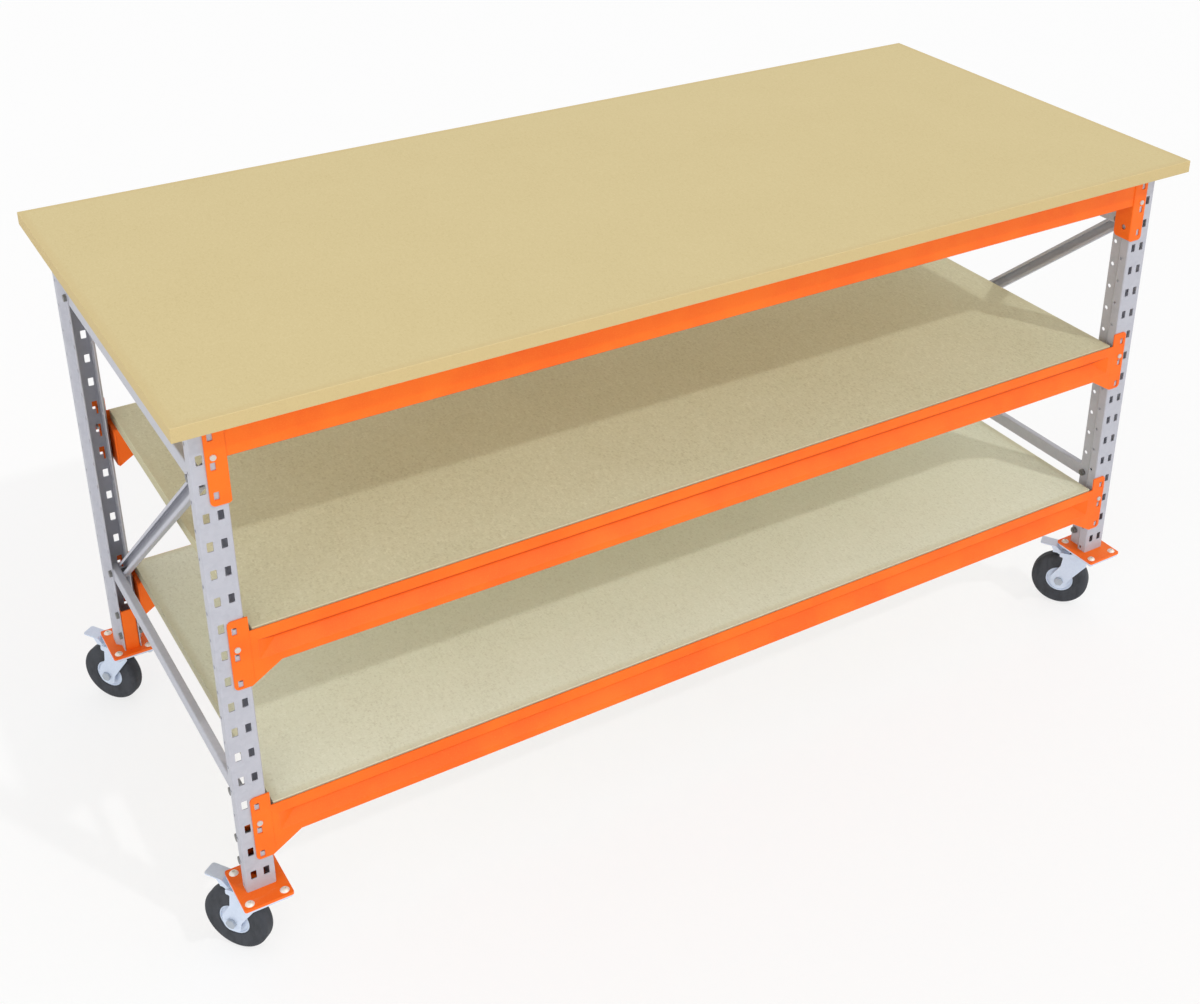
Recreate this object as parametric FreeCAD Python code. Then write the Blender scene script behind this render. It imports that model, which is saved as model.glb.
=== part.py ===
import FreeCAD, Part
import math
import os

# Assembly table on four braked swivel castors, in millimetres, +Z up, floor at z = 0.
# A left corner is at -X and the front is at -Y. "Inset" is the distance from the outer
# face of a post towards the middle of the table.

# Boards
worktop_length = 2027.0
worktop_width = 902.0
worktop_thickness = 24.0
worktop_end_overhang = 33.0
worktop_side_overhang = 51.0
shelf_board_thickness = 23.0
board_edge_break = 0.8
board_end_gap = 5.0
board_side_gap = 1.0

# Posts: an omega section, open towards the middle of the table
post_width = 51.0
post_depth = 52.0
post_neck_width = 33.0
post_flat_inset = 21.0
post_neck_inset = 30.0
post_wall = 1.8
post_bend = 1.2
post_top_gap = 1.0

# Punched holes of the posts
hole_pitch = 50.0
slot_rows = 18
first_row_rise = 33.0
last_row_margin = 17.0
slot_width = 10.0
slot_height = 17.0
slot_corner = 1.5
slot_column_spacing = 22.0
bolt_column_inset = 44.0
wall_hole_radius = 3.2
wall_hole_inset = 15.0

# Rows that carry something, counted from the bottom row, which is row 0
low_shelf_row = 2
mid_shelf_row = 9
low_brace_row = 3
top_row_offset = 2
footplate_bolt_rows = (0, 1)

# Braces: lipped channels side by side in the neck of a post
brace_height = 28.0
brace_lip = 6.5
brace_wall = 1.5
brace_bend = 1.2
brace_gap = 0.2
brace_end_margin = 12.0

# Top beams: closed boxes
top_beam_height = 74.0
top_beam_depth = 40.0
top_beam_wall = 1.8
top_beam_corner = 3.0

# Shelf beams: closed boxes with an upstanding lip and a pressed groove
shelf_above_row = 34.0
shelf_beam_height = 74.0
shelf_beam_depth = 50.0
shelf_beam_wall = 1.8
shelf_beam_corner = 2.0
shelf_lip_drop = 2.5
lip_thickness = 3.0
groove_top_drop = 23.0
groove_height = 37.0
groove_apex_rise = 22.0
groove_depth = 15.0
groove_land = 2.0
groove_end_margin = 11.0
groove_end_slant = 31.0
haunch_length = 45.0
haunch_drop = 28.0

# Beam connectors: hooked angle plates
connector_sheet = 2.5
connector_side_gap = 2.5
connector_width = 33.0
connector_margin = 30.0
connector_corner = 8.0
side_flange_corner = 10.0
side_hole_radius = 5.5
side_hole_inset = 16.0
side_hole_drop = 55.0
window_width = 8.5
window_height = 14.0
window_corner = 1.0
connector_foot_width = 5.0
connector_foot_rise = 3.0
hook_reach = 8.0
hook_neck = 5.0
hook_drop = 9.0
hook_lead = 2.0
hook_side_gap = 1.5
hook_gap = 0.2
top_connector_drop = 82.0
top_window_drop = 15.0
top_pin_rise = 0.5
top_outer_bend = 2.4
shelf_connector_drop = 71.0
shelf_window_drop = 10.5
shelf_pin_rise = 5.0
shelf_outer_bend = 0.5

# Safety pins
pin_radius = 2.5
pin_head_radius = 5.0
pin_head_height = 2.5
pin_length = 14.0
pin_side_shift = 2.0

# Footplates: a plate with a welded channel that stands inside the post
footplate_thickness = 5.0
footplate_corner = 4.0
socket_wall = 3.0
socket_bend = 1.5
socket_top_margin = 10.0
socket_leg_length = 25.0
socket_gap = 0.2

# M8 fasteners
bolt_radius = 4.0
bolt_clearance = 0.3
hex_across_flats = 13.0
hex_head_height = 5.3
nut_height = 6.5
bolt_end_margin = 2.5
hex_edge_break = 0.8
dome_head_radius = 8.0
dome_head_height = 4.5
dome_socket_across_flats = 5.0
dome_socket_depth = 2.5

# Castor plates
castor_plate_length = 105.0
castor_plate_width = 85.0
castor_plate_sheet = 3.5
castor_plate_corner = 8.0
castor_plate_inset = 15.0
castor_hole_spacing_x = 60.0
castor_hole_spacing_y = 80.0

# Castors: heading is the direction from the swivel axis to the axle, seen from above
castor_heading = 126.8
castor_trail = 51.0
wheel_radius = 62.5
tyre_width = 30.0
tyre_top_gap = 14.0
tyre_shoulder = 9.0
tyre_foot_corner = 2.0
rim_radius = 30.0
rim_width = 26.0
rim_dish_depth = 2.0
rim_lip = 3.0
rim_bead_depth = 3.0
rim_bead_width = 12.0
rim_corner = 1.0
rim_edge_corner = 0.5
hub_radius = 12.0
hub_gap = 0.3
axle_radius = 6.0
axle_head_across_flats = 17.0
axle_head_height = 5.0
running_gap = 0.05

# Forks
fork_sheet = 3.0
fork_outer_width = 42.0
fork_head_gap = 5.5
fork_crown_radius = 33.5
fork_web_end = 26.0
fork_foot_radius = 19.0
fork_skirt = 5.0
fork_neck_start = 4.0
fork_neck_drop = 10.0
fork_neck_height = 15.0
fork_waist_drop = 24.0
fork_ear_margin = 5.0
fork_ear_drop = 5.0
fork_ear_length = 14.0
fork_heel_reach = 15.2
fork_corner = 3.0
fork_neck_corner = 5.0
fork_waist_corner = 6.0
fork_shin_corner = 10.0
fork_heel_corner = 12.0
fork_toe_corner = 16.0

# Swivel bearing and kingpin
race_wall = 3.5
race_gap = 1.2
inner_race_radius = 23.0
inner_race_height = 4.5
ball_circle_radius = 26.5
ball_radius = 2.4
ball_count = 12
cage_thickness = 1.6
kingpin_radius = 6.0
kingpin_head_radius = 10.0
kingpin_head_height = 3.2
kingpin_boss_radius = 16.0
kingpin_boss_gap = 0.5
kingpin_seat = 0.1
kingpin_rivet_radius = 9.0
kingpin_rivet_height = 3.0

# Brake pedals
pedal_sheet = 2.5
pedal_width = 28.0
pedal_pivot_reach = 42.0
pedal_pivot_drop = 11.0
pedal_pin_radius = 2.5
pedal_pin_gap = 0.5
pedal_tail = 6.0
pedal_arm = 15.0
pedal_rise = 11.0
pedal_tip_reach = 102.0
pedal_tip_rise = 2.5
pedal_tip_corner = 5.0
pedal_cheek_margin = 1.0
pedal_cheek_rise = 9.0
pedal_cheek_corner = 3.0
pedal_shoe_start = 4.0
pedal_shoe_length = 12.0
pedal_shoe_drop = 1.5

# Sizes that follow
end_frame_spacing = worktop_length - 2 * worktop_end_overhang - post_width
frame_depth = worktop_width - 2 * worktop_side_overhang
crown_bottom_z = 2 * wheel_radius + tyre_top_gap
crown_top_z = crown_bottom_z + fork_sheet
castor_plate_z = crown_top_z + fork_head_gap
castor_height = castor_plate_z + castor_plate_sheet
post_x = end_frame_spacing / 2
post_face_y = frame_depth / 2
post_half = post_width / 2
neck_half = post_neck_width / 2
neck_gap_half = neck_half - post_wall
footplate_top_z = castor_height + footplate_thickness
first_row_z = footplate_top_z + first_row_rise
post_length = first_row_rise + (slot_rows - 1) * hole_pitch + last_row_margin
socket_height = first_row_rise + max(footplate_bolt_rows) * hole_pitch + socket_top_margin
post_top_z = footplate_top_z + post_length
beam_top_z = post_top_z + post_top_gap
top_row = slot_rows - top_row_offset
top_brace_row = top_row - 1
connector_outer_offset = post_half + connector_side_gap + connector_sheet
beam_end_x = post_x - connector_outer_offset
connector_height = 2 * hole_pitch + connector_margin
shelf_front_inset = -connector_sheet
bolt_hole_radius = bolt_radius + bolt_clearance
brace_depth = neck_gap_half - brace_gap / 2
castor_y = post_face_y - castor_plate_inset
fork_inner_half = fork_outer_width / 2 - fork_sheet

SIDES = (("left", -1), ("right", 1))
DEPTHS = (("front", -1), ("back", 1))
CORNERS = [(f"{depth}_{side}", across, along) for depth, along in DEPTHS for side, across in SIDES]


def vec(x, y, z):
    return FreeCAD.Vector(x, y, z)


X_AXIS = vec(1, 0, 0)
Y_AXIS = vec(0, 1, 0)
Z_AXIS = vec(0, 0, 1)


def row_z(row):
    """Height of a row of holes in the posts."""
    return first_row_z + row * hole_pitch


# Plain shapes


def box(low, high):
    size = high - low
    return Part.makeBox(size.x, size.y, size.z, low)


def rod(radius, start, end):
    along = end - start
    return Part.makeCylinder(radius, along.Length, start, along)


def corner_arc(before, point, after, radius):
    """Start, middle and end of the arc that rounds one corner of an outline."""
    back = (before - point).normalize()
    onward = (after - point).normalize()
    half_angle = back.getAngle(onward) / 2
    reach = radius / math.tan(half_angle)
    inward = (back + onward).normalize()
    middle = point + inward * (radius / math.sin(half_angle) - radius)
    return point + back * reach, middle, point + onward * reach


def rounded_face(points, radii):
    """Flat face inside the points, each corner rounded to its own radius."""
    count = len(points)
    corners = []
    for i in range(count):
        if radii[i] > 0:
            corners.append(corner_arc(points[i - 1], points[i], points[(i + 1) % count], radii[i]))
        else:
            corners.append((points[i], points[i], points[i]))
    edges = []
    for i in range(count):
        start, middle, end = corners[i]
        following = corners[(i + 1) % count][0]
        if radii[i] > 0:
            edges.append(Part.Arc(start, middle, end).toShape())
        edges.append(Part.LineSegment(end, following).toShape())
    return Part.Face(Part.Wire(edges))


def prism(points, radii, along):
    return rounded_face(points, radii).extrude(along)


def sheet_prism(path, wall, bend, along):
    """Sheet bent along a flat path, its wall on the path's left as seen from the prism's far end."""
    steps = [(path[i + 1] - path[i]).normalize() for i in range(len(path) - 1)]
    towards_eye = along * (1 / along.Length)
    lefts = [towards_eye.cross(step) for step in steps]
    inner = [path[0] + lefts[0] * wall]
    outer_radii = [0]
    inner_radii = [0]
    for i in range(1, len(path) - 1):
        mitre = (lefts[i - 1] + lefts[i]) * (wall / (1 + lefts[i - 1].dot(lefts[i])))
        inner.append(path[i] + mitre)
        turns_left = towards_eye.dot(steps[i - 1].cross(steps[i])) > 0
        outer_radii.append(bend + wall if turns_left else bend)
        inner_radii.append(bend if turns_left else bend + wall)
    inner.append(path[-1] + lefts[-1] * wall)
    outer_radii.append(0)
    inner_radii.append(0)
    return prism(path + inner[::-1], outer_radii + inner_radii[::-1], along)


def mirrored(shape, across, along):
    """Copy of a shape from the front left corner in another corner of the table."""
    copy = shape
    if across > 0:
        copy = copy.mirror(vec(0, 0, 0), X_AXIS)
    if along > 0:
        copy = copy.mirror(vec(0, 0, 0), Y_AXIS)
    return copy


def pointed(shape, position, direction):
    """Shape made along +Z at the origin, turned to a direction and moved to a position."""
    turn = FreeCAD.Rotation(Z_AXIS, direction)
    copy = shape.copy()
    copy.Placement = FreeCAD.Placement(position, turn)
    return copy


# Fasteners, each made along +Z with its seat at z = 0


def hexagon(across_flats, height):
    reach = across_flats / math.sqrt(3)
    points = [vec(reach * math.cos(i * math.pi / 3), reach * math.sin(i * math.pi / 3), 0) for i in range(6)]
    solid = prism(points, [0] * len(points), Z_AXIS * height)
    top_radius = reach - hex_edge_break
    cone = Part.makeCone(top_radius + height, top_radius, height)
    return solid.common(cone)


def hex_bolt(grip):
    """Bolt through a grip, with its head above z = 0."""
    reach = grip + nut_height + bolt_end_margin
    return hexagon(hex_across_flats, hex_head_height).fuse(rod(bolt_radius, vec(0, 0, -reach), vec(0, 0, 1)))


def dome_bolt(grip):
    reach = grip + nut_height + bolt_end_margin
    ball_radius_of_head = (dome_head_radius ** 2 + dome_head_height ** 2) / (2 * dome_head_height)
    ball = Part.makeSphere(ball_radius_of_head, vec(0, 0, dome_head_height - ball_radius_of_head))
    head = ball.common(rod(dome_head_radius, vec(0, 0, 0), vec(0, 0, dome_head_height)))
    socket = hexagon(dome_socket_across_flats, dome_socket_depth)
    socket.translate(vec(0, 0, dome_head_height - dome_socket_depth))
    shank = rod(bolt_radius, vec(0, 0, -reach), vec(0, 0, dome_head_height - dome_socket_depth))
    return head.fuse(shank).cut(socket)


def hex_nut():
    """Nut that hangs below z = 0."""
    nut = pointed(hexagon(hex_across_flats, nut_height), vec(0, 0, 0), -Z_AXIS)
    return nut.cut(rod(bolt_radius, vec(0, 0, 1), vec(0, 0, -nut_height - 1)))


# Boards


def board(length, width, thickness, top_z):
    low = vec(-length / 2, -width / 2, top_z - thickness)
    solid = box(low, vec(length / 2, width / 2, top_z))
    return solid.makeChamfer(board_edge_break, solid.Edges)


def worktop():
    return board(worktop_length, worktop_width, worktop_thickness, beam_top_z + worktop_thickness)


def shelf_board(row):
    length = 2 * (beam_end_x - board_end_gap)
    width = frame_depth - 2 * (shelf_front_inset + lip_thickness + board_side_gap)
    return board(length, width, shelf_board_thickness, row_z(row) + shelf_above_row)


# Posts


def corner_point(offset, inset, z):
    """Point of the front left corner, from the middle of its post and its outer face."""
    return vec(-post_x + offset, -post_face_y + inset, z)


def slot_tool(offset, z, width, height, corner):
    """Rounded rectangular hole through the front face of a post or of what lies on it."""
    depth = connector_sheet + post_wall
    signs = ((-1, -1), (1, -1), (1, 1), (-1, 1))
    points = [corner_point(offset + a * width / 2, -depth, z + b * height / 2) for a, b in signs]
    return prism(points, [corner] * 4, Y_AXIS * 2 * depth)


def post():
    section = [
        (neck_half, post_depth),
        (neck_half, post_neck_inset),
        (post_half, post_flat_inset),
        (post_half, 0),
    ]
    section = section + [(-offset, inset) for offset, inset in section[::-1]]
    path = [corner_point(offset, inset, footplate_top_z) for offset, inset in section[::-1]]
    solid = sheet_prism(path, post_wall, post_bend, Z_AXIS * post_length)
    tools = []
    for row in range(slot_rows):
        z = row_z(row)
        for sign in (-1, 1):
            tools.append(slot_tool(sign * slot_column_spacing / 2, z, slot_width, slot_height, slot_corner))
        bolt_start = corner_point(-post_half, bolt_column_inset, z)
        tools.append(rod(bolt_hole_radius, bolt_start, bolt_start + X_AXIS * post_width))
        wall_start = corner_point(-post_half - post_wall, wall_hole_inset, z - hole_pitch / 2)
        punch_length = post_width + 2 * post_wall
        tools.append(rod(wall_hole_radius, wall_start, wall_start + X_AXIS * punch_length))
    return solid.cut(Part.Compound(tools))


# Braces


def brace(start, end, wall_x, opening_sign):
    """Lipped channel between two bolt points, its web at wall_x, open towards opening_sign."""
    along = (end - start).normalize()
    rise = X_AXIS.cross(along)
    reach = along * brace_end_margin
    low = vec(wall_x, start.y, start.z) - reach - rise * brace_height / 2
    high = low + rise * brace_height
    flange = X_AXIS * brace_depth * opening_sign
    lip = rise * brace_lip
    path = [low + flange + lip, low + flange, low, high, high + flange, high + flange - lip]
    length = along * ((end - start).Length + 2 * brace_end_margin)
    if opening_sign < 0:
        path = path[::-1]
    solid = sheet_prism(path, brace_wall, brace_bend, length)
    for point in (start, end):
        middle = vec(wall_x, point.y, point.z)
        punch = X_AXIS * brace_depth
        solid = solid.cut(rod(bolt_hole_radius, middle - punch, middle + punch))
    return solid


def end_frame_braces(across):
    """Top, diagonal and low brace of one end frame."""
    centre_x = across * post_x
    bolt_y = post_face_y - bolt_column_inset
    top_z = row_z(top_brace_row)
    low_z = row_z(low_brace_row)
    near_wall = centre_x - neck_gap_half
    far_wall = centre_x + neck_gap_half
    top = brace(vec(0, -bolt_y, top_z), vec(0, bolt_y, top_z), near_wall, 1)
    low = brace(vec(0, -bolt_y, low_z), vec(0, bolt_y, low_z), near_wall, 1)
    diagonal = brace(vec(0, -bolt_y, top_z), vec(0, bolt_y, low_z), far_wall, -1)
    return {"top": top, "diagonal": diagonal, "low": low}


# Beams, made at the front


def upright_edges(solid, x, y):
    """Edges of a solid that stand at one place."""
    found = []
    for edge in solid.Edges:
        if all(math.hypot(vertex.X - x, vertex.Y - y) < 0.001 for vertex in edge.Vertexes):
            found.append(edge)
    return found


def long_edges(solid, length):
    """Edges of a solid that run along X for at least a length."""
    found = []
    for edge in solid.Edges:
        if len(edge.Vertexes) == 2 and edge.Length >= length:
            step = edge.Vertexes[1].Point - edge.Vertexes[0].Point
            if abs(abs(step.x) - edge.Length) < 1e-6:
                found.append(edge)
    return found


def rectangle(x, low_y, low_z, high_y, high_z):
    return [vec(x, low_y, low_z), vec(x, high_y, low_z), vec(x, high_y, high_z), vec(x, low_y, high_z)]


def top_beam():
    length = X_AXIS * 2 * beam_end_x
    low_z = beam_top_z - top_beam_height
    outside = rectangle(-beam_end_x, -post_face_y, low_z, -post_face_y + top_beam_depth, beam_top_z)
    inside = rectangle(
        -beam_end_x,
        -post_face_y + top_beam_wall,
        low_z + top_beam_wall,
        -post_face_y + top_beam_depth - top_beam_wall,
        beam_top_z - top_beam_wall,
    )
    shell = prism(outside, [top_beam_corner] * 4, length)
    return shell.cut(prism(inside, [top_beam_corner - top_beam_wall] * 4, length))


def groove(front_y, top_z, growth):
    """Pressed groove with slanted ends, grown on all sides to leave a wall behind it."""
    half_length = beam_end_x - groove_end_margin + growth
    low_z = top_z - groove_top_drop - groove_height
    apex_z = low_z + groove_apex_rise
    return Part.makeWedge(
        -half_length,
        front_y,
        low_z - growth,
        apex_z - groove_land / 2,
        -half_length + groove_end_slant,
        half_length,
        front_y + groove_depth + growth,
        low_z + groove_height + growth,
        apex_z + groove_land / 2,
        half_length - groove_end_slant,
    )


def haunched_outline(y, low_z, high_z, inset, overrun):
    """Front outline of a shelf beam's box with its haunches, moved inwards by an inset."""
    slope = haunch_drop / haunch_length
    end_x = beam_end_x + overrun
    knee_x = beam_end_x - haunch_length + inset * (math.sqrt(1 + slope ** 2) - 1) / slope
    end_z = low_z + inset - slope * (end_x - knee_x)
    right = [(knee_x, low_z + inset), (end_x, end_z), (end_x, high_z - inset)]
    left = [(-x, z) for x, z in right[::-1]]
    return [vec(x, y, z) for x, z in right + left]


def shelf_beam(row):
    top_z = row_z(row) + shelf_above_row
    seat_z = top_z - shelf_board_thickness
    low_z = top_z - shelf_beam_height
    front_y = -post_face_y + shelf_front_inset
    outline = haunched_outline(front_y, low_z, seat_z, 0, 0)
    outside = prism(outline, [0] * len(outline), Y_AXIS * shelf_beam_depth)
    lip_foot = vec(-beam_end_x, front_y, seat_z - 2 * shelf_beam_corner)
    lip = box(lip_foot, vec(beam_end_x, front_y + lip_thickness, top_z - shelf_lip_drop))
    lip_top_edges = [edge for edge in long_edges(lip, beam_end_x) if edge.BoundBox.ZMin > seat_z]
    lip = lip.makeFillet(lip_thickness / 3, lip_top_edges)
    outside = outside.makeFillet(shelf_beam_corner, long_edges(outside, beam_end_x))
    hollow_outline = haunched_outline(front_y + shelf_beam_wall, low_z, seat_z, shelf_beam_wall, 1)
    hollow_depth = Y_AXIS * (shelf_beam_depth - 2 * shelf_beam_wall)
    hollow = prism(hollow_outline, [0] * len(hollow_outline), hollow_depth)
    hollow = hollow.cut(groove(front_y, top_z, shelf_beam_wall))
    return outside.fuse(lip).cut(groove(front_y, top_z, 0)).cut(hollow).removeSplitter()


# Connectors and their pins, made at the front left corner

hook_low_offset = slot_column_spacing / 2 + slot_width / 2 - hook_side_gap - connector_sheet


def hook(row):
    """Tongue that passes through a slot, rests on its lower edge and drops behind the wall."""
    rest_z = row_z(row) - slot_height / 2
    front = -connector_sheet / 2
    behind = post_wall + hook_gap
    outline = [
        (front, rest_z),
        (behind, rest_z),
        (behind, rest_z - hook_drop),
        (hook_reach, rest_z - hook_drop + hook_lead),
        (hook_reach, rest_z + hook_neck),
        (front, rest_z + hook_neck),
    ]
    points = [corner_point(hook_low_offset, inset, z) for inset, z in outline]
    return prism(points, [0] * len(points), X_AXIS * connector_sheet)


def connector_front(low_z, high_z):
    free_offset = connector_outer_offset - connector_width
    outline = [
        (free_offset, low_z),
        (connector_outer_offset - connector_foot_width, low_z),
        (connector_outer_offset, low_z + connector_foot_rise),
        (connector_outer_offset, high_z),
        (free_offset, high_z),
    ]
    points = [corner_point(offset, -connector_sheet, z) for offset, z in outline]
    return prism(points, [connector_corner, 0, 0, 0, connector_corner], Y_AXIS * connector_sheet)


def connector_side(low_z, high_z, depth):
    outline = [(-connector_sheet, low_z), (depth, low_z), (depth, high_z), (-connector_sheet, high_z)]
    points = [corner_point(connector_outer_offset - connector_sheet, inset, z) for inset, z in outline]
    return prism(points, [0, side_flange_corner, side_flange_corner, 0], X_AXIS * connector_sheet)


def connector(row, drop, window_drop, pin_rise, depth, side_high_z, outer_bend):
    """Angle plate welded to a beam's end and hooked into three rows of a post."""
    low_z = row_z(row) - drop
    high_z = low_z + connector_height
    side = connector_side(low_z + connector_foot_rise, side_high_z, depth)
    plate = connector_front(low_z, high_z).fuse(side).removeSplitter()
    bend_edges = upright_edges(plate, -beam_end_x, -post_face_y - connector_sheet)
    plate = plate.makeFillet(outer_bend, bend_edges)
    tools = [pin_tool(row, pin_rise, pin_radius + running_gap)]
    for hooked_row in (row - 1, row, row + 1):
        window_z = row_z(hooked_row) - window_drop
        window_offset = hook_low_offset - window_width / 2
        tools.append(slot_tool(window_offset, window_z, window_width, window_height, window_corner))
        plate = plate.fuse(hook(hooked_row))
    return plate.cut(Part.Compound(tools)).removeSplitter()


def pin_tool(row, rise, radius):
    """Shank of a safety pin, from the face of its connector into the post."""
    offset = slot_column_spacing / 2 - pin_side_shift
    start = corner_point(offset, -connector_sheet, row_z(row) + rise)
    return rod(radius, start, start + Y_AXIS * pin_length)


def safety_pin(row, rise):
    shank = pin_tool(row, rise, pin_radius)
    offset = slot_column_spacing / 2 - pin_side_shift
    seat = corner_point(offset, -connector_sheet, row_z(row) + rise)
    head = rod(pin_head_radius, seat, seat - Y_AXIS * pin_head_height)
    rim = [edge for edge in head.Edges if edge.BoundBox.YMax < seat.y - pin_head_height / 2]
    return head.makeFillet(pin_head_height / 3, rim).fuse(shank)


def top_connector():
    high_z = row_z(top_row) - top_connector_drop + connector_height
    plate = connector(
        top_row, top_connector_drop, top_window_drop, top_pin_rise, top_beam_depth, high_z, top_outer_bend
    )
    start_offset = connector_outer_offset - 2 * connector_sheet
    start = corner_point(start_offset, side_hole_inset, row_z(top_row) - side_hole_drop)
    return plate.cut(rod(side_hole_radius, start, start + X_AXIS * 3 * connector_sheet))


def shelf_connector(row):
    depth = shelf_beam_depth + shelf_front_inset
    seat_z = row_z(row) + shelf_above_row - shelf_board_thickness
    return connector(
        row, shelf_connector_drop, shelf_window_drop, shelf_pin_rise, depth, seat_z, shelf_outer_bend
    )


# Footplates, made at the front left corner


def castor_bolt_places():
    """The four bolt places of a castor plate, about its swivel axis."""
    places = []
    for x in (-castor_hole_spacing_x / 2, castor_hole_spacing_x / 2):
        for y in (-castor_hole_spacing_y / 2, castor_hole_spacing_y / 2):
            places.append(vec(x, y, 0))
    return places


def drilled_plate(thickness, corner, low_z):
    """Plate with four holes, about its swivel axis."""
    half_x = castor_plate_width / 2
    half_y = castor_plate_length / 2
    points = [
        vec(-half_x, -half_y, low_z),
        vec(half_x, -half_y, low_z),
        vec(half_x, half_y, low_z),
        vec(-half_x, half_y, low_z),
    ]
    plate = prism(points, [corner] * 4, Z_AXIS * thickness)
    for place in castor_bolt_places():
        low = vec(place.x, place.y, low_z - 1)
        plate = plate.cut(rod(bolt_hole_radius, low, low + Z_AXIS * (thickness + 2)))
    return plate


def footplate():
    plate = drilled_plate(footplate_thickness, footplate_corner, castor_height)
    plate.translate(vec(-post_x, -castor_y, 0))
    half = neck_gap_half - socket_gap
    free_inset = post_depth - socket_leg_length
    section = [(half, free_inset), (half, post_depth), (-half, post_depth), (-half, free_inset)]
    path = [corner_point(offset, inset, footplate_top_z) for offset, inset in section]
    socket = sheet_prism(path, socket_wall, socket_bend, Z_AXIS * socket_height)
    for row in footplate_bolt_rows:
        start = corner_point(-post_half, bolt_column_inset, row_z(row))
        socket = socket.cut(rod(bolt_hole_radius, start, start + X_AXIS * post_width))
    return plate.fuse(socket).removeSplitter()


# Fasteners in their places


def frame_fasteners():
    """Bolts and nuts of one corner, through the neck of its post."""
    bolts = []
    nuts = []
    for row in footplate_bolt_rows + (low_brace_row, top_brace_row):
        seat = corner_point(-neck_half, bolt_column_inset, row_z(row))
        bolts.append(pointed(hex_bolt(post_neck_width), seat, -X_AXIS))
        nuts.append(pointed(hex_nut(), seat + X_AXIS * post_neck_width, -X_AXIS))
    return bolts, nuts


def castor_fasteners():
    """Bolts and nuts of one castor plate, about its swivel axis."""
    grip = footplate_thickness + castor_plate_sheet
    bolts = []
    nuts = []
    for place in castor_bolt_places():
        seat = vec(place.x, place.y, footplate_top_z)
        bolts.append(pointed(dome_bolt(grip), seat, Z_AXIS))
        nuts.append(pointed(hex_nut(), seat - Z_AXIS * grip, Z_AXIS))
    return bolts, nuts


# Castors, made with the swivel axis on the Z axis and the heading along +X


def ring(outer_radius, inner_radius, low_z, high_z):
    outside = rod(outer_radius, vec(0, 0, low_z), vec(0, 0, high_z))
    return outside.cut(rod(inner_radius, vec(0, 0, low_z - 1), vec(0, 0, high_z + 1)))


def castor_plate():
    plate = drilled_plate(castor_plate_sheet, castor_plate_corner, castor_plate_z)
    outer = fork_crown_radius
    plate = plate.fuse(ring(outer, outer - race_wall, crown_top_z + race_gap, castor_plate_z))
    boss = rod(kingpin_boss_radius, vec(0, 0, crown_top_z + kingpin_boss_gap), vec(0, 0, castor_plate_z))
    seat = vec(0, 0, castor_height - kingpin_head_height)
    above = vec(0, 0, castor_height + 1)
    bore = rod(kingpin_radius + running_gap, vec(0, 0, crown_top_z), above)
    recess = rod(kingpin_head_radius + kingpin_seat, seat, above)
    return plate.fuse(boss).cut([bore, recess]).removeSplitter()


def kingpin():
    seat_z = castor_height - kingpin_head_height
    rivet_z = crown_bottom_z - hub_gap
    head = rod(kingpin_head_radius, vec(0, 0, seat_z), vec(0, 0, castor_height))
    shank = rod(kingpin_radius, vec(0, 0, rivet_z - kingpin_rivet_height), vec(0, 0, castor_height))
    rivet = rod(kingpin_rivet_radius, vec(0, 0, rivet_z - kingpin_rivet_height), vec(0, 0, rivet_z))
    return head.fuse([shank, rivet]).removeSplitter()


def ball_cage():
    """Balls of the swivel bearing, held together by their cage."""
    level = vec(0, 0, crown_top_z + fork_head_gap / 2)
    half = cage_thickness / 2
    cage = ring(ball_circle_radius + half, ball_circle_radius - half, level.z - half, level.z + half)
    balls = []
    for i in range(ball_count):
        ball = Part.makeSphere(ball_radius)
        ball.translate(level + X_AXIS * ball_circle_radius)
        ball.rotate(vec(0, 0, 0), Z_AXIS, 360 * (i + 0.5) / ball_count)
        balls.append(ball)
    return cage.fuse(balls)


def fork_side(low_y):
    """One cheek of the fork, with the lobe that carries the axle and the ear that carries the pedal."""
    axle_low_z = wheel_radius - fork_foot_radius
    toe = castor_trail + fork_foot_radius
    ear_low_z = crown_top_z - pedal_pivot_drop - fork_ear_margin
    ear_high_z = crown_top_z - fork_ear_drop
    ear_end = pedal_pivot_reach + fork_ear_length
    neck_high_z = crown_bottom_z - fork_neck_drop
    outline = [
        (-fork_web_end, crown_top_z, 0),
        (-fork_web_end, crown_bottom_z - fork_skirt, fork_corner),
        (-fork_neck_start, neck_high_z, fork_neck_corner),
        (-fork_neck_start, neck_high_z - fork_neck_height, fork_neck_corner),
        (castor_trail - fork_foot_radius, wheel_radius + fork_sheet, fork_shin_corner),
        (castor_trail - fork_heel_reach, axle_low_z, fork_heel_corner),
        (toe - fork_sheet, axle_low_z, fork_toe_corner),
        (toe, wheel_radius + fork_foot_radius / 2, fork_shin_corner),
        (castor_trail, ear_low_z - fork_waist_drop, fork_waist_corner),
        (castor_trail - fork_sheet, ear_low_z, fork_corner),
        (ear_end, ear_low_z, fork_corner),
        (ear_end, ear_high_z, fork_corner),
        (fork_web_end + 2 * fork_sheet, ear_high_z, fork_corner),
        (fork_web_end, crown_top_z, fork_corner),
    ]
    points = [vec(x, low_y, z) for x, z, radius in outline]
    return prism(points, [radius for x, z, radius in outline], Y_AXIS * fork_sheet)


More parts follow.
